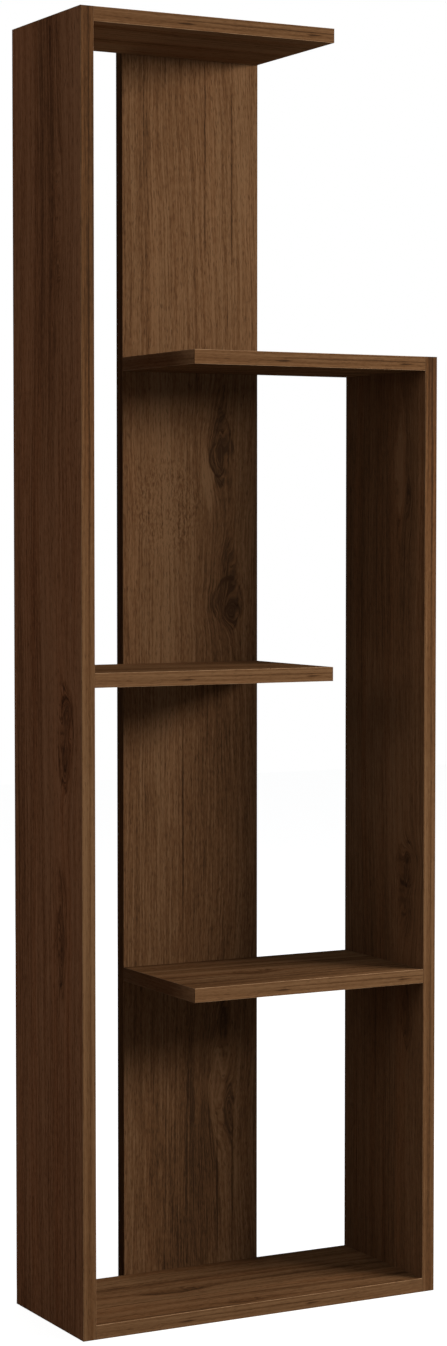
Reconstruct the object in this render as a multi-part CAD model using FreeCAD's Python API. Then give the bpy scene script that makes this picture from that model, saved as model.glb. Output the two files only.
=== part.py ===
import FreeCAD, Part
import math
import os
from collections import namedtuple

# Zigzag bookshelf of faced chipboard: a tall left side, a short right side, a spine board behind,
# and shelves that hang in turn from the left and from the right. Every edge has a glued band.
# Shelves meet the sides on dowels and turn-lock cams, and the spine is screwed on from behind.
# Frame: millimetres, +X right, +Y back, +Z up. The origin is on the floor, under the outline's centre.

# Boards
board_thickness = 18.0
shelf_depth = 200.0
spine_width = 200.0
left_bay_width = 137.0
right_bay_width = 137.0
bottom_bay_height = 390.0
lower_bay_height = 380.0
upper_bay_height = 380.0
top_bay_height = 390.0

# Edge bands
band_thickness = 0.8
arris_radius = 0.5

# Room left between a fitting and its hole, past a blind hole's end, and past a cut's open end
fit_clearance = 0.1
drill_relief = 1.0
overrun = 2.0

# Cams, let into the face of a shelf that is out of sight
cam_diameter = 15.0
cam_setback = 34.0
cam_edge_inset = 37.0
cam_sink = 0.3
cam_floor = 1.2
cam_chamber_diameter = 10.0
cam_slot_sweep_deg = 110.0

# Cam bolts, turned into the side boards
bolt_thread_diameter = 6.0
bolt_thread_depth = 0.8
bolt_thread_pitch = 2.0
bolt_thread_length = 11.0
bolt_shank_diameter = 7.0
bolt_neck_diameter = 4.0
bolt_head_diameter = 6.0
bolt_head_length = 3.0

# Dowels, glued into the shelf ends
dowel_diameter = 8.0
dowel_length = 30.0
dowel_depth_in_side = 12.0
dowel_chamfer = 1.0
dowel_row_shares = (0.33, 0.67)

# Spine screws
spine_screw_length = 50.0
spine_screw_edge_inset = 40.0
spine_screw_head_diameter = 10.0
spine_screw_head_rim = 1.0
spine_screw_head_height = 4.5
spine_screw_shank_diameter = 7.0
spine_screw_thread_diameter = 6.4
spine_screw_thread_depth = 1.0
spine_screw_thread_pitch = 3.0
spine_screw_socket_width = 4.0
spine_screw_socket_depth = 3.0

# Wall bracket, under the top shelf beside the left side, and its two screws
bracket_width = 20.0
bracket_thickness = 2.0
bracket_bend_radius = 1.5
bracket_shelf_leg = 34.0
bracket_wall_leg = 32.0
bracket_side_offset = 70.0
wall_hole_diameter = 5.5
wall_hole_drop = 21.0
bracket_screw_row_shares = (0.25, 0.75)
bracket_screw_diameter = 3.5
bracket_screw_length = 13.0
bracket_screw_head_diameter = 7.0
bracket_screw_head_height = 2.4
bracket_screw_head_edge = 0.8
bracket_screw_thread_depth = 0.6
bracket_screw_thread_pitch = 1.6

# Cross recess of the cams and of the bracket screws
recess_arm_length = 5.0
recess_arm_width = 1.4
recess_depth = 1.6

# Places that follow from the sizes
overall_width = left_bay_width + spine_width + right_bay_width + 2 * board_thickness
overall_depth = shelf_depth + board_thickness

left_outer = -overall_width / 2
left_inner = left_outer + board_thickness
spine_left = left_inner + left_bay_width
spine_right = spine_left + spine_width
right_inner = spine_right + right_bay_width
right_outer = right_inner + board_thickness

front = -overall_depth / 2
shelf_rear = front + shelf_depth
rear = shelf_rear + board_thickness

lower_underside = board_thickness + bottom_bay_height
middle_underside = lower_underside + board_thickness + lower_bay_height
upper_underside = middle_underside + board_thickness + upper_bay_height
top_underside = upper_underside + board_thickness + top_bay_height
left_height = top_underside + board_thickness
right_height = upper_underside + board_thickness

cam_rows = (front + cam_edge_inset, shelf_rear - cam_edge_inset)
dowel_rows = [cam_rows[0] + share * (cam_rows[1] - cam_rows[0]) for share in dowel_row_shares]
spine_screw_columns = (spine_left + spine_screw_edge_inset, spine_right - spine_screw_edge_inset)

# The bolt's head lies against the wall of the cam's chamber
chamber_reach = cam_chamber_diameter / 2 - fit_clearance
bolt_head_seat = math.sqrt(chamber_reach ** 2 - (bolt_head_diameter / 2) ** 2)

# A shelf's ends are at left and right; bolted names the sides that hold it, and up says that
# its cams are let into the upper face.
Shelf = namedtuple("Shelf", "name left right underside bolted up")
shelves = [
    Shelf("top_shelf", left_inner, spine_right, top_underside, ("left",), True),
    Shelf("upper_right_shelf", spine_left, right_inner, upper_underside, ("right",), True),
    Shelf("middle_left_shelf", left_inner, spine_right, middle_underside, ("left",), False),
    Shelf("lower_right_shelf", spine_left, right_inner, lower_underside, ("right",), False),
    Shelf("bottom_shelf", left_inner, right_inner, 0.0, ("left", "right"), False),
]
# For each side board: where its inner face is, and which way a shelf leaves that face
side_face = {"left": left_inner, "right": right_inner}
side_way = {"left": 1, "right": -1}

X = FreeCAD.Vector(1, 0, 0)
Y = FreeCAD.Vector(0, 1, 0)
Z = FreeCAD.Vector(0, 0, 1)
ORIGIN = FreeCAD.Vector(0, 0, 0)


# Shared shapes
def block(low, high):
    """A box from its lowest corner to its highest."""
    size = [b - a for a, b in zip(low, high)]
    return Part.makeBox(*size, FreeCAD.Vector(*low))


def aim(shape, start, way):
    """A shape made along +Z, moved to start and turned to point along way."""
    shape.Placement = FreeCAD.Placement(FreeCAD.Vector(*start), FreeCAD.Rotation(Z, way))
    return shape


def turned(outline):
    """A solid of revolution about +Z, from (radius, height) points."""
    points = [FreeCAD.Vector(radius, 0, height) for radius, height in outline]
    return Part.Face(Part.makePolygon(points + points[:1])).revolve(ORIGIN, Z, 360)


def rod(diameter, low, high):
    """A cylinder about +Z between two heights."""
    return Part.makeCylinder(diameter / 2, high - low, FreeCAD.Vector(0, 0, low))


def drill(diameter, depth):
    """The cut of a drill that enters at height 0 and goes up to depth."""
    return rod(diameter, -overrun, depth)


def ridges(diameter, ridge, pitch, start, end):
    """Thread ridges between two heights, as (radius, height) points."""
    crest = diameter / 2
    count = max(1, int((end - start) / pitch))
    step = (end - start) / count
    points = []
    for turn in range(count):
        points.append((crest - ridge, start + turn * step))
        points.append((crest, start + (turn + 0.5) * step))
    return points + [(crest - ridge, end)]


def cross_recess(top):
    """The cut of a cross recess in a head that faces +Z at height top."""
    long, short = recess_arm_length / 2, recess_arm_width / 2
    low, high = top - recess_depth, top + overrun
    across = block((-long, -short, low), (long, short, high))
    return across.fuse(block((-short, -long, low), (short, long, high)))


def cut_all(shape, cuts):
    """The shape with every cut taken out of it."""
    return shape.cut(Part.makeCompound(cuts)) if cuts else shape


# Boards and their edge bands
def lies_on(edge, axis, place):
    """True where both ends of the edge are at that place along axis 0, 1 or 2."""
    return all(round(vertex.Point[axis] - place, 6) == 0 for vertex in edge.Vertexes)


def band(low, high, axis, side, free_ends=()):
    """An edge band whose outer face is the high (side 1) or low (side -1) one along axis. Its two
    long arrises are rounded, and so are the arrises at free_ends, given as (axis, side)."""
    solid = block(low, high)
    place = high[axis] if side > 0 else low[axis]
    outer = [edge for edge in solid.Edges if lies_on(edge, axis, place)]
    length = max(edge.Length for edge in outer)
    chosen = [edge for edge in outer if math.isclose(edge.Length, length)]
    for end_axis, end_side in free_ends:
        end = high[end_axis] if end_side > 0 else low[end_axis]
        chosen += [edge for edge in outer if lies_on(edge, end_axis, end)]
    return solid.makeFillet(arris_radius, chosen)


def banded_side(name, left, right, height):
    """A side board with a band on its front, rear, top and bottom edges."""
    inner_front, inner_rear = front + band_thickness, shelf_rear - band_thickness
    inner_top = height - band_thickness
    upright_ends = ((2, 1), (2, -1))
    return {
        name: block((left, inner_front, band_thickness), (right, inner_rear, inner_top)),
        name + "_front_band": band((left, front, 0), (right, inner_front, height), 1, -1, upright_ends),
        name + "_rear_band": band((left, inner_rear, 0), (right, shelf_rear, height), 1, 1, upright_ends),
        name + "_top_band": band((left, inner_front, inner_top), (right, inner_rear, height), 2, 1),
        name + "_bottom_band": band((left, inner_front, 0), (right, inner_rear, band_thickness), 2, -1),
    }


def banded_spine():
    """The spine board with a band on its left, right, top and bottom edges."""
    inner_left, inner_right = spine_left + band_thickness, spine_right - band_thickness
    inner_top = left_height - band_thickness
    upright_ends = ((2, 1), (2, -1))
    near, far, high = shelf_rear, rear, left_height
    return {
        "spine": block((inner_left, near, band_thickness), (inner_right, far, inner_top)),
        "spine_left_band": band((spine_left, near, 0), (inner_left, far, high), 0, -1, upright_ends),
        "spine_right_band": band((inner_right, near, 0), (spine_right, far, high), 0, 1, upright_ends),
        "spine_top_band": band((inner_left, near, inner_top), (inner_right, far, high), 2, 1),
        "spine_bottom_band": band((inner_left, near, 0), (inner_right, far, band_thickness), 2, -1),
    }


def banded_shelf(shelf):
    """A shelf with a band on its front and rear edges, and on its end where no side holds it."""
    inner_front, inner_rear = front + band_thickness, shelf_rear - band_thickness
    low, high = shelf.underside, shelf.underside + board_thickness
    core_left = shelf.left if "left" in shelf.bolted else shelf.left + band_thickness
    core_right = shelf.right if "right" in shelf.bolted else shelf.right - band_thickness
    free_ends = [(0, -side_way[side]) for side in side_way if side not in shelf.bolted]
    front_low, rear_high = (shelf.left, front, low), (shelf.right, shelf_rear, high)
    pieces = {
        shelf.name: block((core_left, inner_front, low), (core_right, inner_rear, high)),
        shelf.name + "_front_band": band(front_low, (shelf.right, inner_front, high), 1, -1, free_ends),
        shelf.name + "_rear_band": band((shelf.left, inner_rear, low), rear_high, 1, 1, free_ends),
    }
    for end_axis, end_side in free_ends:
        ends = (core_right, shelf.right) if end_side > 0 else (shelf.left, core_left)
        pieces[shelf.name + "_end_band"] = band(
            (ends[0], inner_front, low), (ends[1], inner_rear, high), end_axis, end_side
        )
    return pieces


# Fittings, each made along +Z about its own axis
def cam_bolt():
    """A bolt with its thread below height 0, where the side board's face is."""
    shank, neck, head = bolt_shank_diameter / 2, bolt_neck_diameter / 2, bolt_head_diameter / 2
    shank_end = cam_setback - cam_diameter / 2 - fit_clearance
    head_start = cam_setback - bolt_head_seat
    head_end = head_start + bolt_head_length
    thread = ridges(bolt_thread_diameter, bolt_thread_depth, bolt_thread_pitch, -bolt_thread_length, 0)
    body = [(shank, 0), (shank, shank_end), (neck, shank_end), (neck, head_start)]
    end = [(head, head_start), (head, head_end), (0, head_end), (0, -bolt_thread_length)]
    return turned(thread + body + end)


def cam():
    """A cam whose outer face is just under height 0. Its bolt comes in from +X at mid-board."""
    bolt_height = -board_thickness / 2
    head_bore = bolt_head_diameter + 2 * fit_clearance
    neck_bore = bolt_neck_diameter + 2 * fit_clearance
    bottom = bolt_height - bolt_head_diameter / 2 - fit_clearance - cam_floor
    body = rod(cam_diameter, bottom, -cam_sink)
    chamber = rod(cam_chamber_diameter, bolt_height - head_bore / 2, bolt_height + head_bore / 2)
    slot_start = FreeCAD.Vector(0, 0, bolt_height - neck_bore / 2)
    slot = Part.makeCylinder(cam_diameter, neck_bore, slot_start, Z, cam_slot_sweep_deg)
    locked = aim(rod(neck_bore, 0, cam_diameter), (0, 0, bolt_height), X)
    turn = FreeCAD.Rotation(Z, cam_slot_sweep_deg)
    mouth = aim(rod(head_bore, 0, cam_diameter), (0, 0, bolt_height), turn.multVec(X))
    return cut_all(body, [chamber, slot, locked, mouth, cross_recess(-cam_sink)])


def cam_pocket():
    """The hole that a cam sits in, entered from height 0."""
    depth = board_thickness / 2 + bolt_head_diameter / 2 + 2 * fit_clearance + cam_floor
    return rod(cam_diameter + 2 * fit_clearance, -depth, overrun)


def face_cam(shape, centre, to_bolt, outward):
    """A cam or its pocket at its place, with +Z turned outward and +X turned to its bolt."""
    turn = FreeCAD.Rotation(to_bolt, outward.cross(to_bolt), outward, "ZXY")
    shape.Placement = FreeCAD.Placement(FreeCAD.Vector(*centre), turn)
    return shape


def dowel():
    """A dowel with chamfered ends, from height 0 in the side board to its length in the shelf."""
    radius, slim = dowel_diameter / 2, dowel_diameter / 2 - dowel_chamfer
    upper = dowel_length - dowel_chamfer
    return turned([(0, 0), (slim, 0), (radius, dowel_chamfer), (radius, upper), (slim, dowel_length),
                   (0, dowel_length)])


def hexagon(width, low, high):
    """A six-sided prism about +Z, width across its flats."""
    corner = width / 2 / math.cos(math.pi / 6)
    turns = [math.pi / 3 * step for step in range(7)]
    ring = [FreeCAD.Vector(corner * math.cos(a), corner * math.sin(a), low) for a in turns]
    return Part.Face(Part.makePolygon(ring)).extrude(FreeCAD.Vector(0, 0, high - low))


def spine_screw_outline(grow):
    """The screw's (radius, height) points from head to shank, wider by grow; the head is at 0."""
    head, shank = spine_screw_head_diameter / 2 + grow, spine_screw_shank_diameter / 2 + grow
    return [(head, spine_screw_head_rim), (shank, spine_screw_head_height), (shank, board_thickness)]


def spine_screw():
    """A countersunk screw with a hexagon socket, its head at height 0 and its tip up."""
    radius = spine_screw_thread_diameter / 2
    tip_start = spine_screw_length - radius
    head = [(0, 0), (spine_screw_head_diameter / 2, 0)]
    thread = ridges(spine_screw_thread_diameter, spine_screw_thread_depth, spine_screw_thread_pitch,
                    board_thickness, tip_start)
    body = turned(head + spine_screw_outline(0) + thread + [(0, spine_screw_length)])
    return body.cut(hexagon(spine_screw_socket_width, -overrun, spine_screw_socket_depth))


def spine_screw_hole():
    """The countersunk clearance hole through the spine, entered from height 0."""
    wide = spine_screw_head_diameter / 2 + fit_clearance
    shape = [(0, -overrun), (wide, -overrun)] + spine_screw_outline(fit_clearance)
    return turned(shape + [(0, board_thickness)])


def shelf_screw_hole():
    """The hole for a spine screw's thread in a shelf's rear edge, entered from height 0."""
    depth = spine_screw_length - board_thickness + drill_relief
    return drill(spine_screw_thread_diameter + 2 * fit_clearance, depth)


def bracket_screw():
    """A pan-head screw whose head's underside is at height 0 and whose tip is up."""
    head, radius = bracket_screw_head_diameter / 2, bracket_screw_diameter / 2
    tip_start = bracket_screw_length - radius
    thread = ridges(bracket_screw_diameter, bracket_screw_thread_depth, bracket_screw_thread_pitch,
                    bracket_thickness, tip_start)
    edge = bracket_screw_head_edge
    crown = [(0, -bracket_screw_head_height), (head - edge, -bracket_screw_head_height)]
    rim = [(head, edge - bracket_screw_head_height), (head, 0), (radius, 0), (radius, bracket_thickness)]
    body = turned(crown + rim + thread + [(0, bracket_screw_length)])
    recess = aim(cross_recess(0), (0, 0, -bracket_screw_head_height), -Z)
    return body.cut(recess)


def bracket_screw_places():
    """Where the bracket's screws go into the top shelf, as (x, y)."""
    column = left_inner + bracket_side_offset
    return [(column, shelf_rear - share * bracket_shelf_leg) for share in bracket_screw_row_shares]


def wall_bracket():
    """A bent steel strip: one leg under the top shelf, the other down the wall."""
    left = left_inner + bracket_side_offset - bracket_width / 2
    right = left + bracket_width
    top, under = top_underside, top_underside - bracket_thickness
    shelf_leg = block((left, shelf_rear - bracket_shelf_leg, under), (right, rear, top))
    wall_leg = block((left, rear - bracket_thickness, top - bracket_wall_leg), (right, rear, top))
    strip = shelf_leg.fuse(wall_leg).removeSplitter()
    bends = [(rear, top, bracket_bend_radius + bracket_thickness),
             (rear - bracket_thickness, under, bracket_bend_radius)]
    for y, z, radius in bends:
        corner = [edge for edge in strip.Edges if lies_on(edge, 1, y) and lies_on(edge, 2, z)]
        strip = strip.makeFillet(radius, corner)
    wall_hole = aim(drill(wall_hole_diameter, bracket_thickness + overrun),
                    ((left + right) / 2, rear - bracket_thickness, top - wall_hole_drop), Y)
    screw_hole = bracket_screw_diameter + 2 * fit_clearance
    screw_holes = [aim(drill(screw_hole, bracket_thickness + overrun), (x, y, under), Z)
                   for x, y in bracket_screw_places()]
    return cut_all(strip, screw_holes + [wall_hole])


# Assembly: the boards first, then each fitting together with the holes that it needs
pieces = {}
holes = {}


def add_hole(node, cut):
    """Note a cut that a board or band needs."""
    holes.setdefault(node, []).append(cut)


def add_fitting(node, solid):
    """Add one solid to a group of like fittings."""
    pieces.setdefault(node, []).append(solid)


def join_to_side(shelf, side):
    """Bolts, cams and dowels between one end of a shelf and the side board that holds it."""
    board = side + "_side"
    face, inward = side_face[side], X * side_way[side]
    middle = shelf.underside + board_thickness / 2
    cam_face = shelf.underside + (board_thickness if shelf.up else 0)
    outward = Z if shelf.up else -Z
    bolt_bore, thread_bore = (d + 2 * fit_clearance for d in (bolt_shank_diameter, bolt_thread_diameter))
    dowel_bore = dowel_diameter + 2 * fit_clearance
    for row in cam_rows:
        start = (face, row, middle)
        add_fitting("cam_bolts", aim(cam_bolt(), start, inward))
        add_hole(board, aim(drill(thread_bore, bolt_thread_length + drill_relief), start, -inward))
        add_hole(shelf.name, aim(drill(bolt_bore, cam_setback), start, inward))
        centre = (face + side_way[side] * cam_setback, row, cam_face)
        add_fitting("cam_locks", face_cam(cam(), centre, -inward, outward))
        add_hole(shelf.name, face_cam(cam_pocket(), centre, -inward, outward))
    for row in dowel_rows:
        start = (face, row, middle)
        base = (face - side_way[side] * dowel_depth_in_side, row, middle)
        add_fitting("dowels", aim(dowel(), base, inward))
        add_hole(board, aim(drill(dowel_bore, dowel_depth_in_side + drill_relief), start, -inward))
        in_shelf = dowel_length - dowel_depth_in_side + drill_relief
        add_hole(shelf.name, aim(drill(dowel_bore, in_shelf), start, inward))


def join_to_spine(shelf):
    """Screws through the spine into a shelf's rear edge."""
    middle = shelf.underside + board_thickness / 2
    for column in spine_screw_columns:
        head = (column, rear, middle)
        add_fitting("spine_screws", aim(spine_screw(), head, -Y))
        add_hole("spine", aim(spine_screw_hole(), head, -Y))
        for node in (shelf.name, shelf.name + "_rear_band"):
            add_hole(node, aim(shelf_screw_hole(), (column, shelf_rear, middle), -Y))


def hang_bracket():
    """The wall bracket and the screws that hold it up against the top shelf."""
    pieces["wall_bracket"] = [wall_bracket()]
    bore = bracket_screw_diameter + 2 * fit_clearance
    depth = bracket_screw_length - bracket_thickness + drill_relief
    head_seat = top_underside - bracket_thickness
    for x, y in bracket_screw_places():
        add_fitting("wall_bracket_screws", aim(bracket_screw(), (x, y, head_seat), Z))
        add_hole("top_shelf", aim(drill(bore, depth), (x, y, top_underside), Z))


def build():
    """Make every board, band and fitting, then drill the boards and bands."""
    boards = banded_side("left_side", left_outer, left_inner, left_height)
    boards.update(banded_side("right_side", right_inner, right_outer, right_height))
    boards.update(banded_spine())
    for shelf in shelves:
        boards.update(banded_shelf(shelf))
        for side in shelf.bolted:
            join_to_side(shelf, side)
        join_to_spine(shelf)
    hang_bracket()
    for node, solid in boards.items():
        pieces[node] = [cut_all(solid, holes.get(node, []))]


def export():
    """Write one file per node."""
    os.makedirs("parts", exist_ok=True)
    for node, solids in pieces.items():
        flat = [solid for shape in solids for solid in shape.Solids]
        shape = flat[0] if len(flat) == 1 else Part.makeCompound(flat)
        shape.exportStep(os.path.join("parts", node + ".step"))
        print(node, len(flat), "solids", round(shape.Volume / 1000, 2), "cm3", shape.isValid())


build()
export()
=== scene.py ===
import math

import bpy
from bpy.props import FloatProperty, FloatVectorProperty, IntProperty, PointerProperty
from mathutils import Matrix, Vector


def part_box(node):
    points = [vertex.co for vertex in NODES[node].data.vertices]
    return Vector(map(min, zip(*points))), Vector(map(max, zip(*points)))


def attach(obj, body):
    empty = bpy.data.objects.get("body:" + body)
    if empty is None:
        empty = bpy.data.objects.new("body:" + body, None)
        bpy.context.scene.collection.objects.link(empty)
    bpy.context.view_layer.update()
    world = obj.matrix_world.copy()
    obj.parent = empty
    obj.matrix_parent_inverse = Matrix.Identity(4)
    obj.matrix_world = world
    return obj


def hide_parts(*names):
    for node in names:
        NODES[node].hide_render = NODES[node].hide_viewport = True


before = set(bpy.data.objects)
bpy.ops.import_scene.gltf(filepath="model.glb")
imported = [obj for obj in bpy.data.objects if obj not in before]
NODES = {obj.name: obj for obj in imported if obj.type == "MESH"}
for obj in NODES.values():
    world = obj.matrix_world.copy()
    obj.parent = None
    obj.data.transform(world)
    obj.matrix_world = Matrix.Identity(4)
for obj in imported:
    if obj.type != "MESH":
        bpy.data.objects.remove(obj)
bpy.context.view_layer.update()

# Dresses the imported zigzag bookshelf: walnut print on its boards and edge bands, turned and cast
# fittings in place of the plain ones, and a white studio round it. Metres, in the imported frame.

bl_info = {
    "name": "Zigzag Bookshelf",
    "version": (1, 0, 0),
    "blender": (4, 5, 0),
    "location": "3D View > Sidebar > Bookshelf",
    "description": "Finishes the boards, edge bands and fittings of a zigzag bookshelf",
    "category": "Object",
}

BODY = "root"
MM = 0.001

# The inner faces of the sides, and the planes between which the shelves and the spine stand
LEFT_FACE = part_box("left_side")[1].x
RIGHT_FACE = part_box("right_side")[0].x
SHELF_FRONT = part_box("left_side_front_band")[0].y
SHELF_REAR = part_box("left_side_rear_band")[1].y
SPINE_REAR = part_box("spine")[1].y

SHELVES = ("top_shelf", "upper_right_shelf", "middle_left_shelf", "lower_right_shelf", "bottom_shelf")

# Each joint of a shelf with a side: the shelf, the side's way along X, and the face that holds the cams
CAM_JOINTS = (
    ("top_shelf", -1, 1),
    ("upper_right_shelf", 1, 1),
    ("middle_left_shelf", -1, -1),
    ("lower_right_shelf", 1, -1),
    ("bottom_shelf", -1, -1),
    ("bottom_shelf", 1, -1),
)


def linear(red, green, blue):
    """A screen colour of 0 to 255 as the linear colour that Blender works in."""
    parts = []
    for value in (red / 255, green / 255, blue / 255):
        parts.append(value / 12.92 if value <= 0.04045 else ((value + 0.055) / 1.055) ** 2.4)
    return tuple(parts)


def length(name, description, millimetres):
    """A length property, given in millimetres and kept in metres."""
    return FloatProperty(name=name, description=description, default=millimetres * MM, unit="LENGTH",
                         precision=5)


def colour(name, description, *screen):
    """A colour property, given as a screen colour."""
    return FloatVectorProperty(name=name, description=description, default=linear(*screen), size=3,
                               subtype="COLOR", min=0.0, max=1.0)


def share(name, description, default):
    """A property from 0 to 1."""
    return FloatProperty(name=name, description=description, default=default, min=0.0, max=1.0,
                         subtype="FACTOR")


def power(name, description, watts):
    """The power of a lamp."""
    return FloatProperty(name=name, description=description, default=watts, min=0.0, unit="POWER")


class WalnutFinish(bpy.types.PropertyGroup):
    """The printed walnut of the boards and of their edge bands."""
    light: colour("Light Grain", "The palest streaks of the print", 119, 87, 59)
    middle: colour("Middle Grain", "The ground colour of the print", 98, 67, 42)
    dark: colour("Dark Grain", "The darkest streaks of the print", 62, 42, 27)
    pore: colour("Pores", "The short dark pores and the hearts of the knots", 42, 26, 14)
    # The pale line along the bands' arrises: scraped wear and a painted highlight in one
    highlit_bare: colour("Bare Arris", "The band's own colour, where its arris is scraped", 186, 148, 112)
    tone: share("Tone", "How light the print is, from its dark grain to its light", 0.58)
    warmth: share("Warmth", "How far some streaks turn redder than the ground", 0.5)
    contrast: share("Contrast", "How far the streaks stand out from the ground", 0.5)
    ripple: length("Ripple", "How far the finest grain strays from side to side", 1.5)
    relief: length("Relief", "The depth of the pores pressed into the face", 0.12)
    roughness: share("Roughness", "How matt the face is", 0.5)


class FittingSizes(bpy.types.PropertyGroup):
    """The sizes of the fittings that hold the boards together."""
    cam_diameter: length("Cam Diameter", "Across the face of a cam lock", 15)
    cam_sink: length("Cam Sink", "How far a cam lock's face lies under the board's", 0.3)
    cam_setback: length("Cam Setback", "From the side board to a cam lock's axis", 34)
    cam_edge_inset: length("Cam Edge Inset", "From a shelf's front or rear edge to the cam locks", 37)
    dowel_diameter: length("Dowel Diameter", "Across a dowel's ridges", 8)
    dowel_length: length("Dowel Length", "From end to end of a dowel", 30)
    dowel_flutes: IntProperty(name="Dowel Flutes", description="Grooves round a dowel", default=20, min=6)
    screw_head: length("Spine Screw Head", "Across the head of a spine screw", 10)
    screw_length: length("Spine Screw Length", "From the head to the tip of a spine screw", 50)
    screw_inset: length("Spine Screw Inset", "From the spine's edges to its screws", 40)
    facets: IntProperty(name="Facets", description="Sides of each turned fitting", default=32, min=8)


class FittingFinish(bpy.types.PropertyGroup):
    """The metals and the wood of the fittings."""
    cast: colour("Cast Zinc", "The colour of the cam locks", 158, 158, 160)
    plate: colour("Plated Steel", "The colour of the screws, bolts and bracket", 190, 192, 196)
    beech: colour("Beech", "The colour of the dowels", 205, 172, 132)


class StudioStage(bpy.types.PropertyGroup):
    """The camera, lamps and floor round the bookshelf."""
    camera_place: FloatVectorProperty(name="Camera Place", description="Where the camera stands", size=3,
                                      default=(-1.768, -3.281, 1.002), subtype="TRANSLATION", unit="LENGTH")
    camera_turn: FloatVectorProperty(name="Camera Turn", description="Which way the camera looks", size=3,
                                     default=(math.radians(87.11), 0.0, math.radians(-28.315)),
                                     subtype="EULER", unit="ROTATION")
    camera_lens: FloatProperty(name="Lens", description="The camera's focal length in millimetres",
                               default=77.24, min=1.0)
    key_power: power("Key Power", "The wide softbox at the right", 186)
    key_azimuth: FloatProperty(name="Key Azimuth", description="How far the key stands round to the right",
                               default=math.radians(50), subtype="ANGLE", unit="ROTATION")
    key_distance: length("Key Distance", "From the bookshelf to the key, along the floor", 3700)
    key_height: length("Key Height", "From the floor to the key's middle", 2000)
    key_width: length("Key Width", "From side to side of the key", 2100)
    key_depth: length("Key Depth", "From the top to the bottom of the key", 900)
    top_power: power("Top Power", "The softbox overhead", 10)
    fill_power: power("Fill Power", "The softbox at the left", 39)
    back_power: power("Back Power", "The softbox behind", 30)
    ambient: share("Ambient", "The light that comes from all round", 0.17)
    floor_size: length("Floor Size", "From edge to edge of the floor", 14000)


class Net:
    """One node tree in the making: adds nodes and sets each input to a value or to another's output."""

    def __init__(self, tree):
        self.tree = tree

    def add(self, kind, inputs=None, **settings):
        node = self.tree.nodes.new(kind)
        for name, value in settings.items():
            setattr(node, name, value)
        for name, value in (inputs or {}).items():
            self.feed(node.inputs[name], value)
        return node

    def feed(self, socket, value):
        if isinstance(value, bpy.types.NodeSocket):
            self.tree.links.new(value, socket)
        else:
            socket.default_value = value

    def math(self, operation, *values):
        node = self.add("ShaderNodeMath", operation=operation)
        for place, value in enumerate(values):
            self.feed(node.inputs[place], value)
        return node.outputs[0]

    def plus(self, *values):
        total = values[0]
        for value in values[1:]:
            total = self.math("ADD", total, value)
        return total

    def times(self, *values):
        product = values[0]
        for value in values[1:]:
            product = self.math("MULTIPLY", product, value)
        return product

    def less(self, first, second):
        return self.math("SUBTRACT", first, second)

    def half(self, value):
        return self.math("MULTIPLY", value, 0.5)

    def vector(self, x, y, z):
        return self.add("ShaderNodeCombineXYZ", {0: x, 1: y, 2: z}).outputs[0]

    def upright(self, height):
        return self.vector(0.0, 0.0, height)

    def parts(self, vector):
        return self.add("ShaderNodeSeparateXYZ", {0: vector}).outputs[:3]

    def noise(self, place, detail=1.0, roughness=0.5, scale=1.0):
        inputs = {"Vector": place, "Scale": scale, "Detail": detail, "Roughness": roughness}
        return self.add("ShaderNodeTexNoise", inputs, noise_dimensions="3D").outputs["Fac"]

    def sway(self, place, waves, detail=1.0, roughness=0.5):
        """Noise about 0, with a number of waves per metre for each part of the place, or 1 to leave it."""
        scaled = [part if count == 1 else self.times(part, count) for part, count in zip(place, waves)]
        return self.less(self.noise(self.vector(*scaled), detail, roughness), 0.5)

    def ramp(self, value, start, end, low=0.0, high=1.0, smooth=False):
        inputs = {"Value": value, "From Min": start, "From Max": end, "To Min": low, "To Max": high}
        kind = "SMOOTHSTEP" if smooth else "LINEAR"
        return self.add("ShaderNodeMapRange", inputs, interpolation_type=kind).outputs["Result"]

    def blend(self, factor, first, second, kind="MIX"):
        node = self.add("ShaderNodeMix", data_type="RGBA", blend_type=kind)
        factor_in, first_in, second_in = node.inputs[0], node.inputs[6], node.inputs[7]
        for socket, value in ((factor_in, factor), (first_in, first), (second_in, second)):
            self.feed(socket, value)
        return node.outputs[2]

    def group(self, name, inputs):
        """Places a shader group, with its inputs by their names."""
        return self.add("ShaderNodeGroup", inputs, node_tree=group_tree(name)).outputs

    def object_place(self, **mapping):
        """The place on the piece itself, turned, shifted or scaled."""
        seen = self.add("ShaderNodeTexCoord").outputs["Object"]
        return self.add("ShaderNodeMapping", {"Vector": seen, **mapping}).outputs[0]

    def put_out(self, **results):
        """Ends a shader group, with an output for each result."""
        for label in results:
            kind = "NodeSocketColor" if label == "Color" else "NodeSocketFloat"
            self.tree.interface.new_socket(label, in_out="OUTPUT", socket_type=kind)
        end = self.add("NodeGroupOutput")
        for label, value in results.items():
            self.feed(end.inputs[label], value)


def group_tree(name):
    """A node group by its name, built by its own function the first time that it is asked for."""
    if name not in bpy.data.node_groups:
        GROUP_BUILDERS[name]()
    return bpy.data.node_groups[name]


def shader_group(name, inputs):
    """A new shader group with named inputs, each of the kind of its default. Returns its net and its inputs."""
    group = bpy.data.node_groups.new(name, "ShaderNodeTree")
    for label, default in inputs.items():
        parts = len(default) if isinstance(default, tuple) else 1
        kind = {1: "NodeSocketFloat", 3: "NodeSocketVector", 4: "NodeSocketColor"}[parts]
        group.interface.new_socket(label, in_out="INPUT", socket_type=kind).default_value = default
    net = Net(group)
    return net, net.add("NodeGroupInput").outputs


# Grain space: X across the grain, Y into the board, Z along the grain. The turn brings a board into it.
QUARTER = math.pi / 2
TURN_SPINE = (0.0, 0.0, 0.0)
TURN_SIDE = (0.0, 0.0, -QUARTER)
TURN_SHELF = (-QUARTER, -QUARTER, 0.0)
TURN_SHELF_EDGE = (0.0, -QUARTER, 0.0)
TURN_SHELF_END = (QUARTER, 0.0, QUARTER)
TURN_SIDE_END = (QUARTER, 0.0, 0.0)

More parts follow.
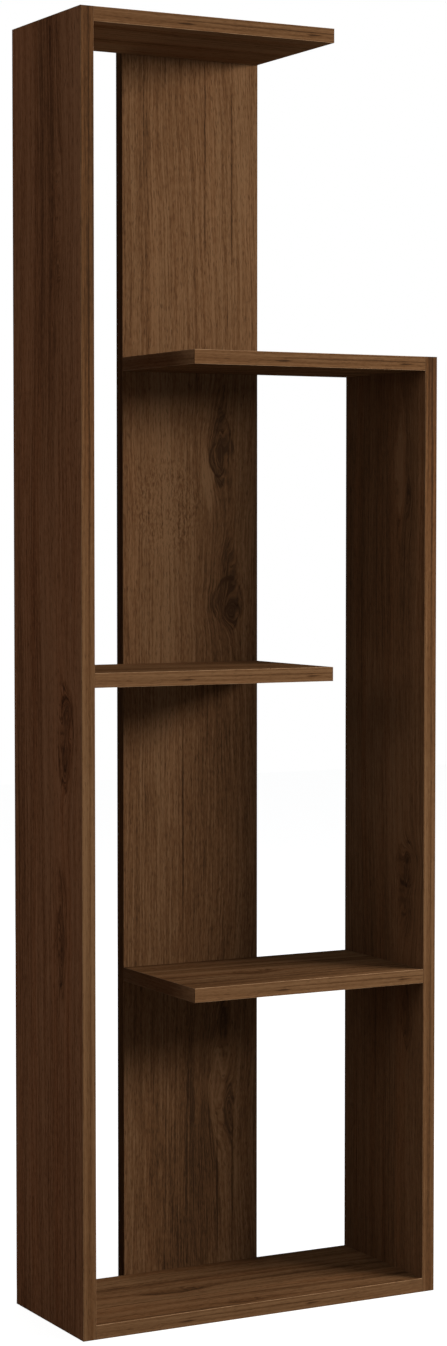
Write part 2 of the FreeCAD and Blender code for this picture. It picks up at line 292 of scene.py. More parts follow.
ORIGIN = (0.0, 0.0, 0.0)
WHITE = (1.0, 1.0, 1.0, 1.0)
NO_TINT = (1.0, 1.0, 1.0)

FACE_STEP = 60.0        # how far apart the print of a board's two faces is, per metre of its thickness

# The waves per metre of the grain's wandering, across and along a board and from layer to layer
SLOW_WANDER, QUICK_WANDER, SHORT_WANDER = (6.0, 1.4, 1), (22.0, 7.0, 1), (110.0, 75.0, 1)
QUICK_SHARE = 0.12      # the quick wander's strength beside the slow

# The waves per metre, across, into and along a board, of a ripple, of an eye's outline and of its rim's breaks
RIPPLE_WAVES, EYE_WAVES, RIM_WAVES = (75.0, 1, 110.0), (60.0, 1, 22.0), (70.0, 1, 24.0)
RIPPLE_LAYER, EYE_LAYER, RIM_LAYER = 0.0, 0.3, 0.5
RIPPLE_PATCH = (0.3, 1.0, 1.0, 0.0)     # ramps are given as start, end and the values there, or 0 and 1

# An eye: how far its outline strays, how soon it fades aside and towards its ends, and where it is dark
EYE_STRAY, EYE_FADE_ASIDE, EYE_FADE_ALONG = 1.2, 1.6, 1.2
EYE_PALE_BELOW, EYE_DARK_ABOVE = 0.12, 0.75
RIM_WIDTH, RIM_BREAKS = 0.3, (-0.15, 0.1)

# The streaks of the print: how many per metre across and along the grain, and the layer that each kind lies on
STREAKS = {
    "broad": (26.0, 0.9, 3.1),
    "band": (110.0, 1.6, 7.7),
    "line": (430.0, 2.6, 13.3),
    "fibre": (620.0, 24.0, 29.9),
    "dash": (560.0, 120.0, 91.7),
    "tick": (560.0, 190.0, 17.9),
    "pore": (760.0, 95.0, 41.3),
    "ring": (64.0, 0.9, 71.9),
    "red": (45.0, 1.7, 57.1),
}
FIGURE_WEIGHTS = {"broad": 0.8, "band": 0.64}
FINE_WEIGHTS = {"line": 2.0, "fibre": 1.9, "dash": 1.45}
RED_STREAK = (1.08, 0.93, 0.84, 1.0)

# Ramps that make pores, rings and red streaks of the noise, and that deepen them by the shade of a knot
PORES, RINGS, REDNESS = (0.1, 0.2), (0.0, 0.035, 1.0, 0.0), (-0.05, 0.2)
RINGS_BY_SHADE, PORES_BY_SHADE, HEART_BY_SHADE = (0.2, 0.6, 0.12, 0.3), (0.0, 0.6, 0.8, 1.2), (0.5, 1.2, 0.0, 0.6)
LINE_MATT, PORE_MATT = 0.25, 0.2

# Ramps of a band's pale arris line, scraped wear and a painted highlight in one, by how far its face looks out, or
# looks along at its ends, and by noise
ARRIS_BY_SLOPE, ARRIS_OFF_ENDS = (0.97, 0.999, 1.0, 0.0), (0.03, 0.2, 1.0, 0.0)
GLUE_AT_ENDS = (0.05, 0.3, 0.0, 0.9)
UNEVEN_WEAR_AND_HIGHLIGHT, WEAR_AND_HIGHLIGHT_PER_METRE = (0.3, 0.65, 0.25, 1.0), 45.0


def build_grain_flow():
    """Group: how the grain wanders across a board, before any knot."""
    net, given = shader_group("grain_flow", {"Place": ORIGIN, "Seed": 0.0, "Wander": 0.05, "Ripple": 0.0})
    across, into, along = net.parts(given["Place"])
    layer = net.plus(given["Seed"], net.times(into, FACE_STEP))
    slow, quick, short = [net.sway((across, along, layer), waves)
                          for waves in (SLOW_WANDER, QUICK_WANDER, SHORT_WANDER)]
    wander = net.times(net.plus(slow, net.times(quick, QUICK_SHARE)), given["Wander"])
    net.put_out(Flow=net.plus(across, wander, net.times(short, given["Ripple"])), Along=along, Layer=layer)


def build_grain_ripple():
    """Group: a patch where the grain runs in short waves."""
    net, given = shader_group("grain_ripple", {
        "Flow": 0.0, "Place": ORIGIN, "Centre Across": 0.0, "Centre Along": 0.0, "Half Width": 0.04,
        "Half Length": 0.06, "Sway": 0.01, "Mottle": 0.5,
    })
    across, _, along = net.parts(given["Place"])
    wide = net.math("DIVIDE", net.less(across, given["Centre Across"]), given["Half Width"])
    tall = net.math("DIVIDE", net.less(along, given["Centre Along"]), given["Half Length"])
    reach = net.plus(net.times(wide, wide), net.times(tall, tall))
    patch = net.ramp(reach, *RIPPLE_PATCH, smooth=True)
    wave = net.sway((across, RIPPLE_LAYER, along), RIPPLE_WAVES, detail=2.0, roughness=0.6)
    net.put_out(Flow=net.plus(given["Flow"], net.times(wave, patch, given["Sway"])),
                Mottle=net.times(patch, given["Mottle"]))


def build_grain_eye():
    """Group: one knot, long eye or vein. The grain parts round it, loops inside, and darkens or pales."""
    net, given = shader_group("grain_eye", {
        "Flow": 0.0, "Shade": 0.0, "Place": ORIGIN, "Centre Across": 0.0, "Centre Along": 0.0, "Half Width": 0.01,
        "Half Length": 0.05, "Roundness": 0.3, "Lean": 0.0, "Spread": 0.8, "Push": 0.02, "Depth": 0.6,
        "Outline": 0.0,
    })
    across, _, along = net.parts(given["Place"])
    rise = net.less(along, given["Centre Along"])
    aside = net.less(net.less(across, given["Centre Across"]), net.times(rise, given["Lean"]))
    stray = net.times(net.sway((across, EYE_LAYER, along), EYE_WAVES, detail=2.0), EYE_STRAY)
    wide = net.plus(net.math("DIVIDE", aside, given["Half Width"]), stray)
    tall = net.math("DIVIDE", rise, given["Half Length"])
    blunt = given["Roundness"]
    out = net.less(net.math("SQRT", net.plus(net.times(wide, wide), net.times(blunt, blunt))), blunt)
    reach = net.plus(net.times(out, EYE_FADE_ASIDE), net.times(tall, tall, EYE_FADE_ALONG))
    swell = net.math("POWER", math.e, net.times(reach, -1.0))
    spread = net.times(aside, swell, given["Spread"], -1.0)
    dark = net.times(net.ramp(swell, EYE_PALE_BELOW, EYE_DARK_ABOVE, smooth=True), given["Depth"])
    rim = net.ramp(net.math("ABSOLUTE", net.less(reach, 1.0)), 0.0, RIM_WIDTH, 1.0, 0.0, smooth=True)
    broken = net.ramp(net.sway((across, RIM_LAYER, along), RIM_WAVES), *RIM_BREAKS)
    net.put_out(Flow=net.plus(given["Flow"], spread, net.times(swell, given["Push"])),
                Shade=net.plus(given["Shade"], dark, net.times(rim, broken, given["Outline"])))


def build_walnut_print():
    """Group: the walnut print itself, from broad bands down to pores, along the flow of the grain."""
    net, given = shader_group("walnut_print", {
        "Flow": 0.0, "Along": 0.0, "Layer": 0.0, "Shade": 0.0, "Mottle": 0.0, "Tone": 0.5, "Contrast": 0.5,
        "Figure": 1.0, "Warmth": 0.5, "Light": WHITE, "Middle": WHITE, "Dark": WHITE, "Pore": WHITE,
    })
    shade = given["Shade"]
    streak = {}
    for kind, (across, along, layer) in STREAKS.items():
        place = (given["Flow"], given["Along"], net.plus(given["Layer"], layer))
        streak[kind] = net.sway(place, (across, along, 1))

    def weighed(weights):
        return net.plus(*[net.times(streak[kind], weight) for kind, weight in weights.items()])

    figure = net.times(weighed(FIGURE_WEIGHTS), given["Figure"])
    tick = net.times(streak["tick"], given["Mottle"])
    fine = net.times(net.plus(weighed(FINE_WEIGHTS), tick), given["Contrast"])
    pore = net.ramp(streak["pore"], *PORES, smooth=True)
    ring = net.ramp(net.math("ABSOLUTE", streak["ring"]), *RINGS, smooth=True)
    ring_depth = net.ramp(shade, *RINGS_BY_SHADE)
    tone = net.less(net.plus(given["Tone"], figure, fine), net.plus(shade, net.times(ring, ring_depth)))
    deeper = net.blend(net.ramp(tone, 0.0, 0.5), given["Dark"], given["Middle"])
    ground = net.blend(net.ramp(tone, 0.5, 1.0), deeper, given["Light"])
    red = net.times(net.ramp(streak["red"], *REDNESS), given["Warmth"])
    ground = net.blend(red, ground, net.blend(1.0, ground, RED_STREAK, "MULTIPLY"))
    pore_depth = net.times(pore, given["Contrast"], net.ramp(shade, *PORES_BY_SHADE))
    heart = net.ramp(shade, *HEART_BY_SHADE)
    deep = net.math("MINIMUM", net.plus(pore_depth, heart), 1.0)
    net.put_out(
        Color=net.blend(deep, ground, given["Pore"]),
        Relief=net.less(net.half(streak["fibre"]), pore),
        Matt=net.plus(net.times(streak["line"], LINE_MATT), net.times(pore, PORE_MATT)),
    )


def build_arris_highlight_and_wear():
    """Group: the pale line along a band's arris, scraped wear and a painted highlight in one, and the dark glue
    line at the band's ends.
    """
    net, given = shader_group("arris_highlight_and_wear", {
        "Color": WHITE, "Place": ORIGIN, "Normal": (0.0, 0.0, 1.0), "Wear And Highlight": 0.5, "Highlit Bare": WHITE,
        "Glue": (0.0, 0.0, 0.0, 1.0),
    })
    across, into, along = [net.math("ABSOLUTE", part) for part in net.parts(given["Normal"])]
    flat = net.math("MAXIMUM", across, into)
    arris = net.times(net.ramp(flat, *ARRIS_BY_SLOPE), net.ramp(along, *ARRIS_OFF_ENDS))
    uneven = net.ramp(net.noise(given["Place"], 2.0, 0.6, scale=WEAR_AND_HIGHLIGHT_PER_METRE), *UNEVEN_WEAR_AND_HIGHLIGHT)
    worn_and_lit = net.blend(net.times(arris, uneven, given["Wear And Highlight"]), given["Color"], given["Highlit Bare"])
    net.put_out(Color=net.blend(net.ramp(along, *GLUE_AT_ENDS), worn_and_lit, given["Glue"]))


def tinted(base, tint):
    """A colour with each of its parts times the tint's."""
    return (*[part * share for part, share in zip(base, tint)], 1.0)


def darker(base, share):
    """A colour with all its parts times one share."""
    return tinted(base, (share, share, share))


def fresh_material(name):
    """A new material with an empty tree. Returns it and its net."""
    material = bpy.data.materials.new(name)
    material.use_nodes = True
    material.node_tree.nodes.clear()
    return material, Net(material.node_tree)


def surface(net, colour, roughness, height, depth, firmness, **sockets):
    """Ends a material with its shader. Height times depth is the relief, and sockets are plain values."""
    bump = net.add("ShaderNodeBump", {"Height": height, "Distance": depth, "Strength": firmness})
    shader = net.add("ShaderNodeBsdfPrincipled", {
        "Base Color": colour, "Roughness": roughness, "Normal": bump.outputs[0],
        **{label.replace("_", " "): value for label, value in sockets.items()},
    })
    net.add("ShaderNodeOutputMaterial", {"Surface": shader.outputs[0]})


REVERSE_SHARE = 0.45        # how much of a board's eyes shows on its reverse
FACE_TURN = (-0.5, 0.5)     # the slopes between which a board's reverse turns into its face


def walnut(name, turn, seed, eyes=(), ripples=(), shift=ORIGIN, wander=0.05, tone=0.0, figure=1.0, vigour=1.0,
           warmth=1.0, tint=NO_TINT, wear_and_highlight=0.0, face_side=None, face_shade=0.0, face_light_tint=NO_TINT):
    """A walnut print, its grain brought upright by turn and then shifted. Eyes and ripples are their inputs.

    Tone is how much lighter the print is, figure the strength of its broad streaks and vigour that of its
    fine grain. The face side, given by the way that it looks, has the strongest eyes, its own painted shade and
    its own painted tint of light. The eyes of some boards take in broad patches of painted light and shade.
    Wear and highlight is how pale a band's arris line is: scraped wear and a painted highlight in one.
    """
    finish = bpy.context.scene.bookshelf_walnut
    material, net = fresh_material(name)
    place = net.object_place(Rotation=turn, Location=shift)
    course = net.group("grain_flow", {
        "Place": place, "Seed": seed, "Wander": wander, "Ripple": finish.ripple * vigour,
    })
    flow, shade, mottle, lightness = course["Flow"], 0.0, 0.0, finish.tone + tone
    for patch in ripples:
        waves = net.group("grain_ripple", {"Flow": flow, "Place": place, **patch})
        flow, mottle = waves["Flow"], waves["Mottle"]
    normal = net.add("ShaderNodeNewGeometry").outputs["Normal"]
    if face_side:
        look = net.add("ShaderNodeVectorMath", {0: normal, 1: face_side}, operation="DOT_PRODUCT")
        facing = net.ramp(look.outputs["Value"], *FACE_TURN)
        strength = net.ramp(facing, 0.0, 1.0, REVERSE_SHARE, 1.0)
        # The face side's own tone: a painted shade, given to the upper shelf's lower face
        lightness = net.ramp(facing, 0.0, 1.0, lightness, lightness + face_shade)
        eyes = [{**knot, "Depth": net.times(strength, knot["Depth"])} for knot in eyes]
    for knot in eyes:
        inside = net.group("grain_eye", {"Flow": flow, "Shade": shade, "Place": place, **knot})
        flow, shade = inside["Flow"], inside["Shade"]
    printed = net.group("walnut_print", {
        "Flow": flow, "Along": course["Along"], "Layer": course["Layer"], "Shade": shade, "Mottle": mottle,
        "Tone": lightness, "Contrast": finish.contrast * vigour, "Figure": figure,
        "Warmth": finish.warmth * warmth, "Light": tinted(finish.light, tint),
        "Middle": tinted(finish.middle, tint), "Dark": tinted(finish.dark, tint),
        "Pore": tinted(finish.pore, tint),
    })
    face = printed["Color"]
    # The face side's own tint: a painted warm light, given to the left side's outer face
    if face_side:
        face = net.blend(facing, face, net.blend(1.0, face, (*face_light_tint, 1.0), "MULTIPLY"))
    # The pale arris line of a band: scraped wear and a painted highlight in one
    if wear_and_highlight:
        turned = net.add("ShaderNodeMapping", {"Vector": normal, "Rotation": turn}, vector_type="VECTOR")
        face = net.group("arris_highlight_and_wear", {
            "Color": face, "Place": place, "Normal": turned.outputs[0], "Wear And Highlight": wear_and_highlight,
            "Highlit Bare": tinted(finish.highlit_bare, tint), "Glue": tinted(finish.pore, tint),
        })["Color"]
    surface(net, face, net.plus(printed["Matt"], finish.roughness), printed["Relief"], finish.relief,
            firmness=0.6, Specular_IOR_Level=0.0)
    return material


def eye(across, along, half_width, half_length, depth=0.6, push=0.02, roundness=0.3, lean=0.0, outline=0.0):
    """One knot, eye or vein of a board, in metres of its grain space."""
    return {
        "Centre Across": across, "Centre Along": along, "Half Width": half_width, "Half Length": half_length,
        "Depth": depth, "Push": push, "Roundness": roundness, "Lean": lean, "Outline": outline,
    }


def vein(across, along, half_width, half_length, depth, lean=0.0):
    """A dark or pale streak or patch that leaves the grain straight."""
    return {**eye(across, along, half_width, half_length, depth, push=0.0, lean=lean), "Spread": 0.0}


SPINE_EYES_AND_PAINTED_LIGHT = (
    # The first four, broad patches are painted light and shade: paler on the left of the middle bays, where the
    # key falls, and darker towards the right and at the foot, where the right side and the shelves shade the spine
    vein(-0.050, 1.050, 0.0350, 0.550, depth=-0.14),
    vein(0.045, 0.920, 0.0350, 0.330, depth=0.16),
    vein(0.025, 0.450, 0.0550, 0.440, depth=0.20),
    vein(-0.008, 0.110, 0.0500, 0.230, depth=0.34),
    vein(0.044, 1.140, 0.0160, 0.060, depth=0.16, lean=0.05),
    eye(0.042, 1.109, 0.018, 0.056, depth=0.26, push=0.018, outline=0.3),
    eye(0.040, 1.091, 0.010, 0.024, depth=0.1, push=0.008, roundness=0.8, outline=0.35),
    vein(0.024, 1.062, 0.0090, 0.045, depth=-0.55, lean=-0.12),
    eye(0.055, 0.900, 0.019, 0.038, depth=0.36, push=0.016, roundness=0.8, outline=0.4),
    eye(0.056, 0.952, 0.014, 0.036, depth=0.3, push=0.010),
    eye(0.062, 0.889, 0.009, 0.015, depth=0.1, push=0.008, roundness=1.0, outline=0.4),
    eye(0.048, 0.345, 0.006, 0.030, depth=0.25, push=0.010),
    eye(0.038, 0.255, 0.016, 0.095, depth=-0.34, push=0.024, outline=0.2),
    eye(0.058, 0.224, 0.009, 0.036, depth=0.4, push=0.014, outline=0.3),
    vein(0.021, 1.480, 0.0016, 0.180, depth=0.55),
    vein(0.061, 1.450, 0.0016, 0.200, depth=0.5),
    vein(-0.068, 1.420, 0.0110, 0.240, depth=0.28, lean=-0.01),
    vein(-0.012, 0.600, 0.0016, 0.160, depth=0.5),
    vein(0.039, 0.130, 0.0016, 0.110, depth=0.5),
    vein(0.062, 0.120, 0.0016, 0.120, depth=0.5),
)
SPINE_RIPPLES = (
    {"Centre Across": -0.035, "Centre Along": 1.030, "Half Width": 0.060, "Half Length": 0.080, "Sway": 0.004,
     "Mottle": 3.0},
)
LEFT_SIDE_EYES = (
    vein(-0.085, 1.450, 0.0350, 0.350, depth=-0.12),
    vein(-0.005, 1.420, 0.0350, 0.350, depth=0.16),
    eye(-0.062, 0.742, 0.023, 0.072, depth=0.34, push=0.024, outline=0.35),
    eye(-0.064, 0.772, 0.011, 0.022, depth=0.24, push=0.012, roundness=1.0, outline=0.35),
    eye(-0.059, 0.712, 0.016, 0.032, depth=0.3, push=0.012),
    eye(-0.050, 0.500, 0.016, 0.090, depth=0.36, push=0.022, outline=0.35),
    eye(-0.050, 1.380, 0.012, 0.080, depth=-0.25, push=0.024),
)
RIGHT_SIDE_EYES_AND_PAINTED_LIGHT = (
    # The first two, broad patches are painted light and shade: darker just under the upper shelf, which shades the
    # inner face, and paler lower down
    vein(0.0, 1.000, 0.1200, 0.200, depth=0.13),
    vein(0.0, 0.690, 0.1200, 0.150, depth=-0.17),
    eye(-0.068, 0.560, 0.018, 0.032, depth=0.2, push=0.022, roundness=1.0, outline=0.35),
    eye(-0.068, 0.568, 0.006, 0.010, depth=0.34, push=0.006, roundness=1.0),
    eye(-0.066, 0.512, 0.019, 0.055, depth=0.3, push=0.018),
    eye(-0.050, 1.085, 0.014, 0.090, depth=-0.28, push=0.024),
    eye(-0.070, 1.037, 0.010, 0.030, depth=0.16, push=0.012),
    eye(-0.068, 0.358, 0.013, 0.046, depth=0.32, push=0.014, outline=0.25),
)
LOWER_SHELF_EYES = (eye(-0.020, 0.035, 0.020, 0.035, depth=0.35, push=0.016, outline=0.2),)
BOTTOM_SHELF_EYES = (
    eye(-0.010, -0.075, 0.016, 0.050, depth=0.4, push=0.016),
    eye(-0.093, -0.018, 0.010, 0.030, depth=0.4, push=0.010),
)

# The ways that the boards' face sides look
LEFTWARD, FRONTWARD, UPWARD, DOWNWARD = (-1, 0, 0), (0, -1, 0), (0, 0, 1), (0, 0, -1)

# The print of each board, as walnut takes it. The left side's outer face is tinted redder than the rest, a painted
# warm light on the face that looks left.
LEFT_SIDE_PRINT = {
    "seed": 11.0, "eyes": LEFT_SIDE_EYES, "tone": 0.06, "face_side": LEFTWARD, "face_light_tint": (1.085, 0.885, 0.88),
}
RIGHT_SIDE_PRINT = {
    "seed": 23.0, "eyes": RIGHT_SIDE_EYES_AND_PAINTED_LIGHT, "tone": -0.06, "figure": 0.55, "vigour": 0.7,
    "tint": (1.02, 0.985, 1.0), "face_side": LEFTWARD,
}
SPINE_PRINT = {
    "seed": 5.0, "eyes": SPINE_EYES_AND_PAINTED_LIGHT, "ripples": SPINE_RIPPLES, "tone": 0.1, "figure": 0.45, "warmth": 0.4,
    "face_side": FRONTWARD,
}
SHELF_PRINT = {"tone": 0.16, "figure": 1.7, "tint": (1.01, 0.985, 0.94), "face_side": UPWARD}
FIRST_SHELF_SEED, SHELF_SEED_STEP = 31.0, 9.0

# What sets single shelves apart. The lower face of the upper shelf is painted darkest of all, a painted shade
# under the shelf.
SHELF_CHANGES = {
    "upper_right_shelf": {"face_side": DOWNWARD, "face_shade": -0.35},
    "lower_right_shelf": {"figure": 2.7, "eyes": LOWER_SHELF_EYES},
    "bottom_shelf": {"tone": 0.1, "eyes": BOTTOM_SHELF_EYES},
}

# The bands are cut from one roll of print, with the same figure from the foot of each side and from the left
# of each shelf. The front arrises of the shelves have the palest line, scraped wear and a painted highlight in
# one.
UPRIGHT_BAND_EYES = (
    vein(0.0, 1.450, 0.030, 0.420, depth=0.24),
    vein(0.0, 0.560, 0.030, 0.180, depth=-0.12),
    vein(-0.0062, 0.800, 0.0016, 1.600, depth=-0.24),
    vein(0.0016, 0.700, 0.0016, 1.400, depth=0.24),
    vein(0.0052, 0.900, 0.0016, 1.600, depth=-0.14),
)
SHELF_BAND_EYES = (
    eye(0.0022, 0.127, 0.0014, 0.013, depth=0.6, push=0.002),
    eye(0.0016, 0.308, 0.0012, 0.014, depth=0.5, push=0.002),
    vein(-0.0048, 0.180, 0.0016, 0.260, depth=-0.32),
    vein(-0.0015, 0.230, 0.0012, 0.160, depth=0.42),
    vein(0.0062, 0.200, 0.0016, 0.300, depth=-0.24),
)
BAND_PRINT = {"wander": 0.02, "figure": 0.5, "vigour": 0.6, "tint": (1.0, 0.985, 0.95), "wear_and_highlight": 0.3}
UPRIGHT_BAND_PRINT = {"seed": 2.0, "eyes": UPRIGHT_BAND_EYES}
SHELF_BAND_PRINT = {"seed": 7.0, "eyes": SHELF_BAND_EYES, "wear_and_highlight": 0.9}
BAND_TONES = {
    "left_side": 0.02, "right_side": -0.12, "top_shelf": -0.01, "upper_right_shelf": 0.02,
    "middle_left_shelf": 0.15, "lower_right_shelf": 0.17, "bottom_shelf": 0.15,
}
SIDE_END_PRINT = {"seed": 3.0}
SPINE_EDGE_PRINT = {"seed": 4.0, "tone": -0.35}
SPINE_END_PRINT = {"seed": 6.0}
# The cooler tint of the shelves' end bands is painted light: it takes out the red of the light bounced onto them
# from the left side
SHELF_END_PRINT = {"seed": 8.0, "tone": 0.16, "tint": (0.97, 1.02, 1.1)}


def dress(node, material):
    """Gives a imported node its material."""
    slots = NODES[node].data.materials
    slots.clear()
    slots.append(material)


def shelf_middle(shelf):
    """The height of a shelf's middle."""
    low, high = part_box(shelf)
    return (low.z + high.z) / 2


class BOOKSHELF_OT_side_boards(bpy.types.Operator):
    """Prints the walnut of the two side boards"""
    bl_idname = "bookshelf.side_boards"
    bl_label = "Side Boards"

    def execute(self, context):
        dress("left_side", walnut("walnut_left_side", TURN_SIDE, **LEFT_SIDE_PRINT))
        dress("right_side", walnut("walnut_right_side", TURN_SIDE, **RIGHT_SIDE_PRINT))
        return {"FINISHED"}


class BOOKSHELF_OT_spine(bpy.types.Operator):
    """Prints the walnut of the spine board"""
    bl_idname = "bookshelf.spine"
    bl_label = "Spine"

    def execute(self, context):
        dress("spine", walnut("walnut_spine", TURN_SPINE, **SPINE_PRINT))
        return {"FINISHED"}


class BOOKSHELF_OT_shelves(bpy.types.Operator):
    """Prints the walnut of the five shelves"""
    bl_idname = "bookshelf.shelves"
    bl_label = "Shelves"

    def execute(self, context):
        for number, shelf in enumerate(SHELVES):
            own = {**SHELF_PRINT, **SHELF_CHANGES.get(shelf, {})}
            dress(shelf, walnut("walnut_" + shelf, TURN_SHELF, FIRST_SHELF_SEED + SHELF_SEED_STEP * number, **own))
        return {"FINISHED"}


class BOOKSHELF_OT_edge_bands(bpy.types.Operator):
    """Prints the walnut of the bands on the boards' edges"""
    bl_idname = "bookshelf.edge_bands"
    bl_label = "Edge Bands"

    def execute(self, context):
        def band(name, turn, own, **more):
            return walnut("walnut_" + name + "_band", turn, **{**BAND_PRINT, **own, **more})

        uprights, shelf_edges = {}, {}
        for board in ("left_side", "right_side"):
            low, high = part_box(board)
            tone, shift = BAND_TONES[board], (-(low.x + high.x) / 2, 0.0, 0.0)
            uprights[board] = band(board, TURN_SPINE, UPRIGHT_BAND_PRINT, tone=tone, shift=shift)
        for shelf in SHELVES:
            left_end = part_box(shelf + "_front_band")[0].x
            tone, shift = BAND_TONES[shelf], (shelf_middle(shelf), 0.0, -left_end)
            shelf_edges[shelf] = band(shelf, TURN_SHELF_EDGE, SHELF_BAND_PRINT, tone=tone, shift=shift)
        side_end = band("side_end", TURN_SIDE_END, SIDE_END_PRINT)
        spine_edge = band("spine_edge", TURN_SIDE, SPINE_EDGE_PRINT)
        spine_end = band("spine_end", TURN_SHELF, SPINE_END_PRINT)
        shelf_end = band("shelf_end", TURN_SHELF_END, SHELF_END_PRINT)
        for name in NODES:
            if not name.endswith("_band"):
                continue
            board, way, _ = name.rsplit("_", 2)
            if board in uprights:
                dress(name, uprights[board] if way in ("front", "rear") else side_end)
            elif board == "spine":
                dress(name, spine_edge if way in ("left", "right") else spine_end)
            else:
                dress(name, shelf_end if way == "end" else shelf_edges[board])
        return {"FINISHED"}


CLOUDS_PER_METRE = 130.0
CLOUD_WEIGHT, GRAIN_WEIGHT = 0.7, 0.3       # of what stains a metal
CLOUD_MATT, GRAIN_MATT = 0.2, 0.15
STAINED, STAIN_SHARE = (0.45, 0.75), 0.55   # the stain's ramp, and how much of the colour it leaves
BEECH_GRAIN, BEECH_FLECKS = (60.0, 1500.0, 1500.0), (420.0, 2600.0, 2600.0)     # per metre along and across
BEECH_RELIEF = 0.1 * MM
BEECH_GRAIN_SHARE, BEECH_FLECK_SHARE = 0.7, 0.4     # how much of the colour the grain and the flecks leave
BEECH_FLECKED, BEECH_MATT = (0.6, 0.7), (0.0, 1.0, 0.55, 0.8)


def build_metal_skin():
    """Group: the uneven tone, gloss and fine relief of a cast or plated metal."""
    net, given = shader_group("metal_skin", {
        "Place": ORIGIN, "Grain": 1500.0, "Cloud": 0.3, "Color": WHITE, "Stain": (0.5, 0.5, 0.5, 1.0),
    })
    cloud = net.noise(given["Place"], 3.0, 0.6, scale=CLOUDS_PER_METRE)
    grain = net.noise(given["Place"], 2.0, scale=given["Grain"])
    uneven = net.plus(net.times(cloud, CLOUD_WEIGHT), net.times(grain, GRAIN_WEIGHT))
    stain = net.times(net.ramp(uneven, *STAINED), given["Cloud"])
    net.put_out(
        Color=net.blend(stain, given["Color"], given["Stain"]),
        Matt=net.plus(net.times(cloud, CLOUD_MATT), net.times(grain, GRAIN_MATT)),
        Relief=grain,
    )


def metal(name, tint, grain, cloud, roughness, relief):
    """A metal with its own grain size, in grains per metre, share of clouded tone and depth of relief."""
    material, net = fresh_material(name)
    skin = net.group("metal_skin", {
        "Place": net.object_place(), "Grain": grain, "Cloud": cloud, "Color": (*tint, 1.0),
        "Stain": darker(tint, STAIN_SHARE),
    })
    surface(net, skin["Color"], net.plus(skin["Matt"], roughness), skin["Relief"], relief, firmness=0.5,
            Metallic=1.0)
    return material


def plated_steel(context):
    """The steel of the screws, bolts and bracket: the frame's own where it brings one, or a zinc plate."""
    name = "plated_steel"
    if name in bpy.data.materials:
        return bpy.data.materials[name]
    tint = context.scene.bookshelf_fittings.plate
    return metal(name, tint, grain=900.0, cloud=0.3, roughness=0.2, relief=0.04 * MM)


def beech(name, tint):
    """Pale wood whose grain runs along X, with the short dark flecks of beech."""
    material, net = fresh_material(name)
    grain = net.noise(net.object_place(Scale=BEECH_GRAIN), 2.0)
    fleck = net.ramp(net.noise(net.object_place(Scale=BEECH_FLECKS)), *BEECH_FLECKED, smooth=True)
    ground = net.blend(grain, (*tint, 1.0), darker(tint, BEECH_GRAIN_SHARE))
    flecked = net.blend(fleck, ground, darker(tint, BEECH_FLECK_SHARE))
    surface(net, flecked, net.ramp(grain, *BEECH_MATT), grain, BEECH_RELIEF, firmness=0.5)
    return material


WELD = 0.002 * MM
SHARP_EDGE = math.radians(32)
CAM_SWEEP = math.radians(110)           # from where a cam takes its bolt in to where it locks it
ARC_STEPS = 24
POINTER_PLACE, POINTER_SIZE = 0.72, 0.9     # of a cam's pointer: shares of the radius and of the recess
DOME_STEPS = [math.radians(angle) for angle in (28, 45, 58, 70, 80)]
DOME_FLAT = 0.3                         # the share of a pan head's radius that is flat
BRACKET_SCREW_HEAD, BRACKET_PLATE = 3.5, 2.0        # the head's radius and the plate's thickness, in millimetres
DOWEL_ROWS = (0.33, 0.67)               # shares of the way from the front cam to the rear one
DOWEL_IN_SIDE = 0.4                     # the share of a dowel that stands in the side board
SIDES_PER_FLUTE = 4


def fitting_tree(name, sizes):
    """A new tree that sets one fitting on every place. Each size is (name, default in millimetres)."""
    tree = bpy.data.node_groups.new(name, "GeometryNodeTree")
    tree.interface.new_socket("Places", in_out="INPUT", socket_type="NodeSocketGeometry")
    tree.interface.new_socket("Material", in_out="INPUT", socket_type="NodeSocketMaterial")
    tree.interface.new_socket("Sides", in_out="INPUT", socket_type="NodeSocketInt")
    for label, default in sizes:
        socket = tree.interface.new_socket(label, in_out="INPUT", socket_type="NodeSocketFloat")
        socket.subtype = "DISTANCE"
        socket.default_value = default * MM
    tree.interface.new_socket("Fittings", in_out="OUTPUT", socket_type="NodeSocketGeometry")
    net = Net(tree)
    return net, net.add("NodeGroupInput").outputs


def moved(net, shape, place, turn=ORIGIN):
    """A shape turned, and then moved to a place."""
    inputs = {"Geometry": shape, "Translation": place, "Rotation": turn}
    return net.add("GeometryNodeTransform", inputs).outputs[0]


def joined(net, shapes):
    """Several shapes as one."""
    join = net.add("GeometryNodeJoinGeometry")
    for shape in shapes:
        net.tree.links.new(shape, join.inputs[0])
    return join.outputs[0]


def tube(net, sides, low_radius, high_radius, low, high):
    """An open tube or cone about +Z."""
    cone = net.add("GeometryNodeMeshCone", {
        "Vertices": sides, "Radius Bottom": low_radius, "Radius Top": high_radius,
        "Depth": net.less(high, low),
    }, fill_type="NONE")
    return moved(net, cone.outputs["Mesh"], net.upright(low))


def outline_tubes(net, sides, outline):
    """The tubes between the (radius, height) points of an outline, from the lowest up."""
    return [tube(net, sides, low[0], high[0], low[1], high[1]) for low, high in zip(outline, outline[1:])]


def thread(net, sides, crest, ridge, start, end, count):
    """A number of thread ridges between two heights, each the same as the last."""
    step = net.math("DIVIDE", net.less(end, start), count)
    root, half = net.less(crest, ridge), net.half(step)
    one = joined(net, [tube(net, sides, root, crest, 0.0, half), tube(net, sides, crest, root, half, step)])
    row = net.add("GeometryNodeMeshLine", {
        "Count": count, "Start Location": net.upright(start), "Offset": net.upright(step),
    }).outputs[0]
    many = net.add("GeometryNodeInstanceOnPoints", {"Points": row, "Instance": one}).outputs[0]
    return net.add("GeometryNodeRealizeInstances", {"Geometry": many}).outputs[0]


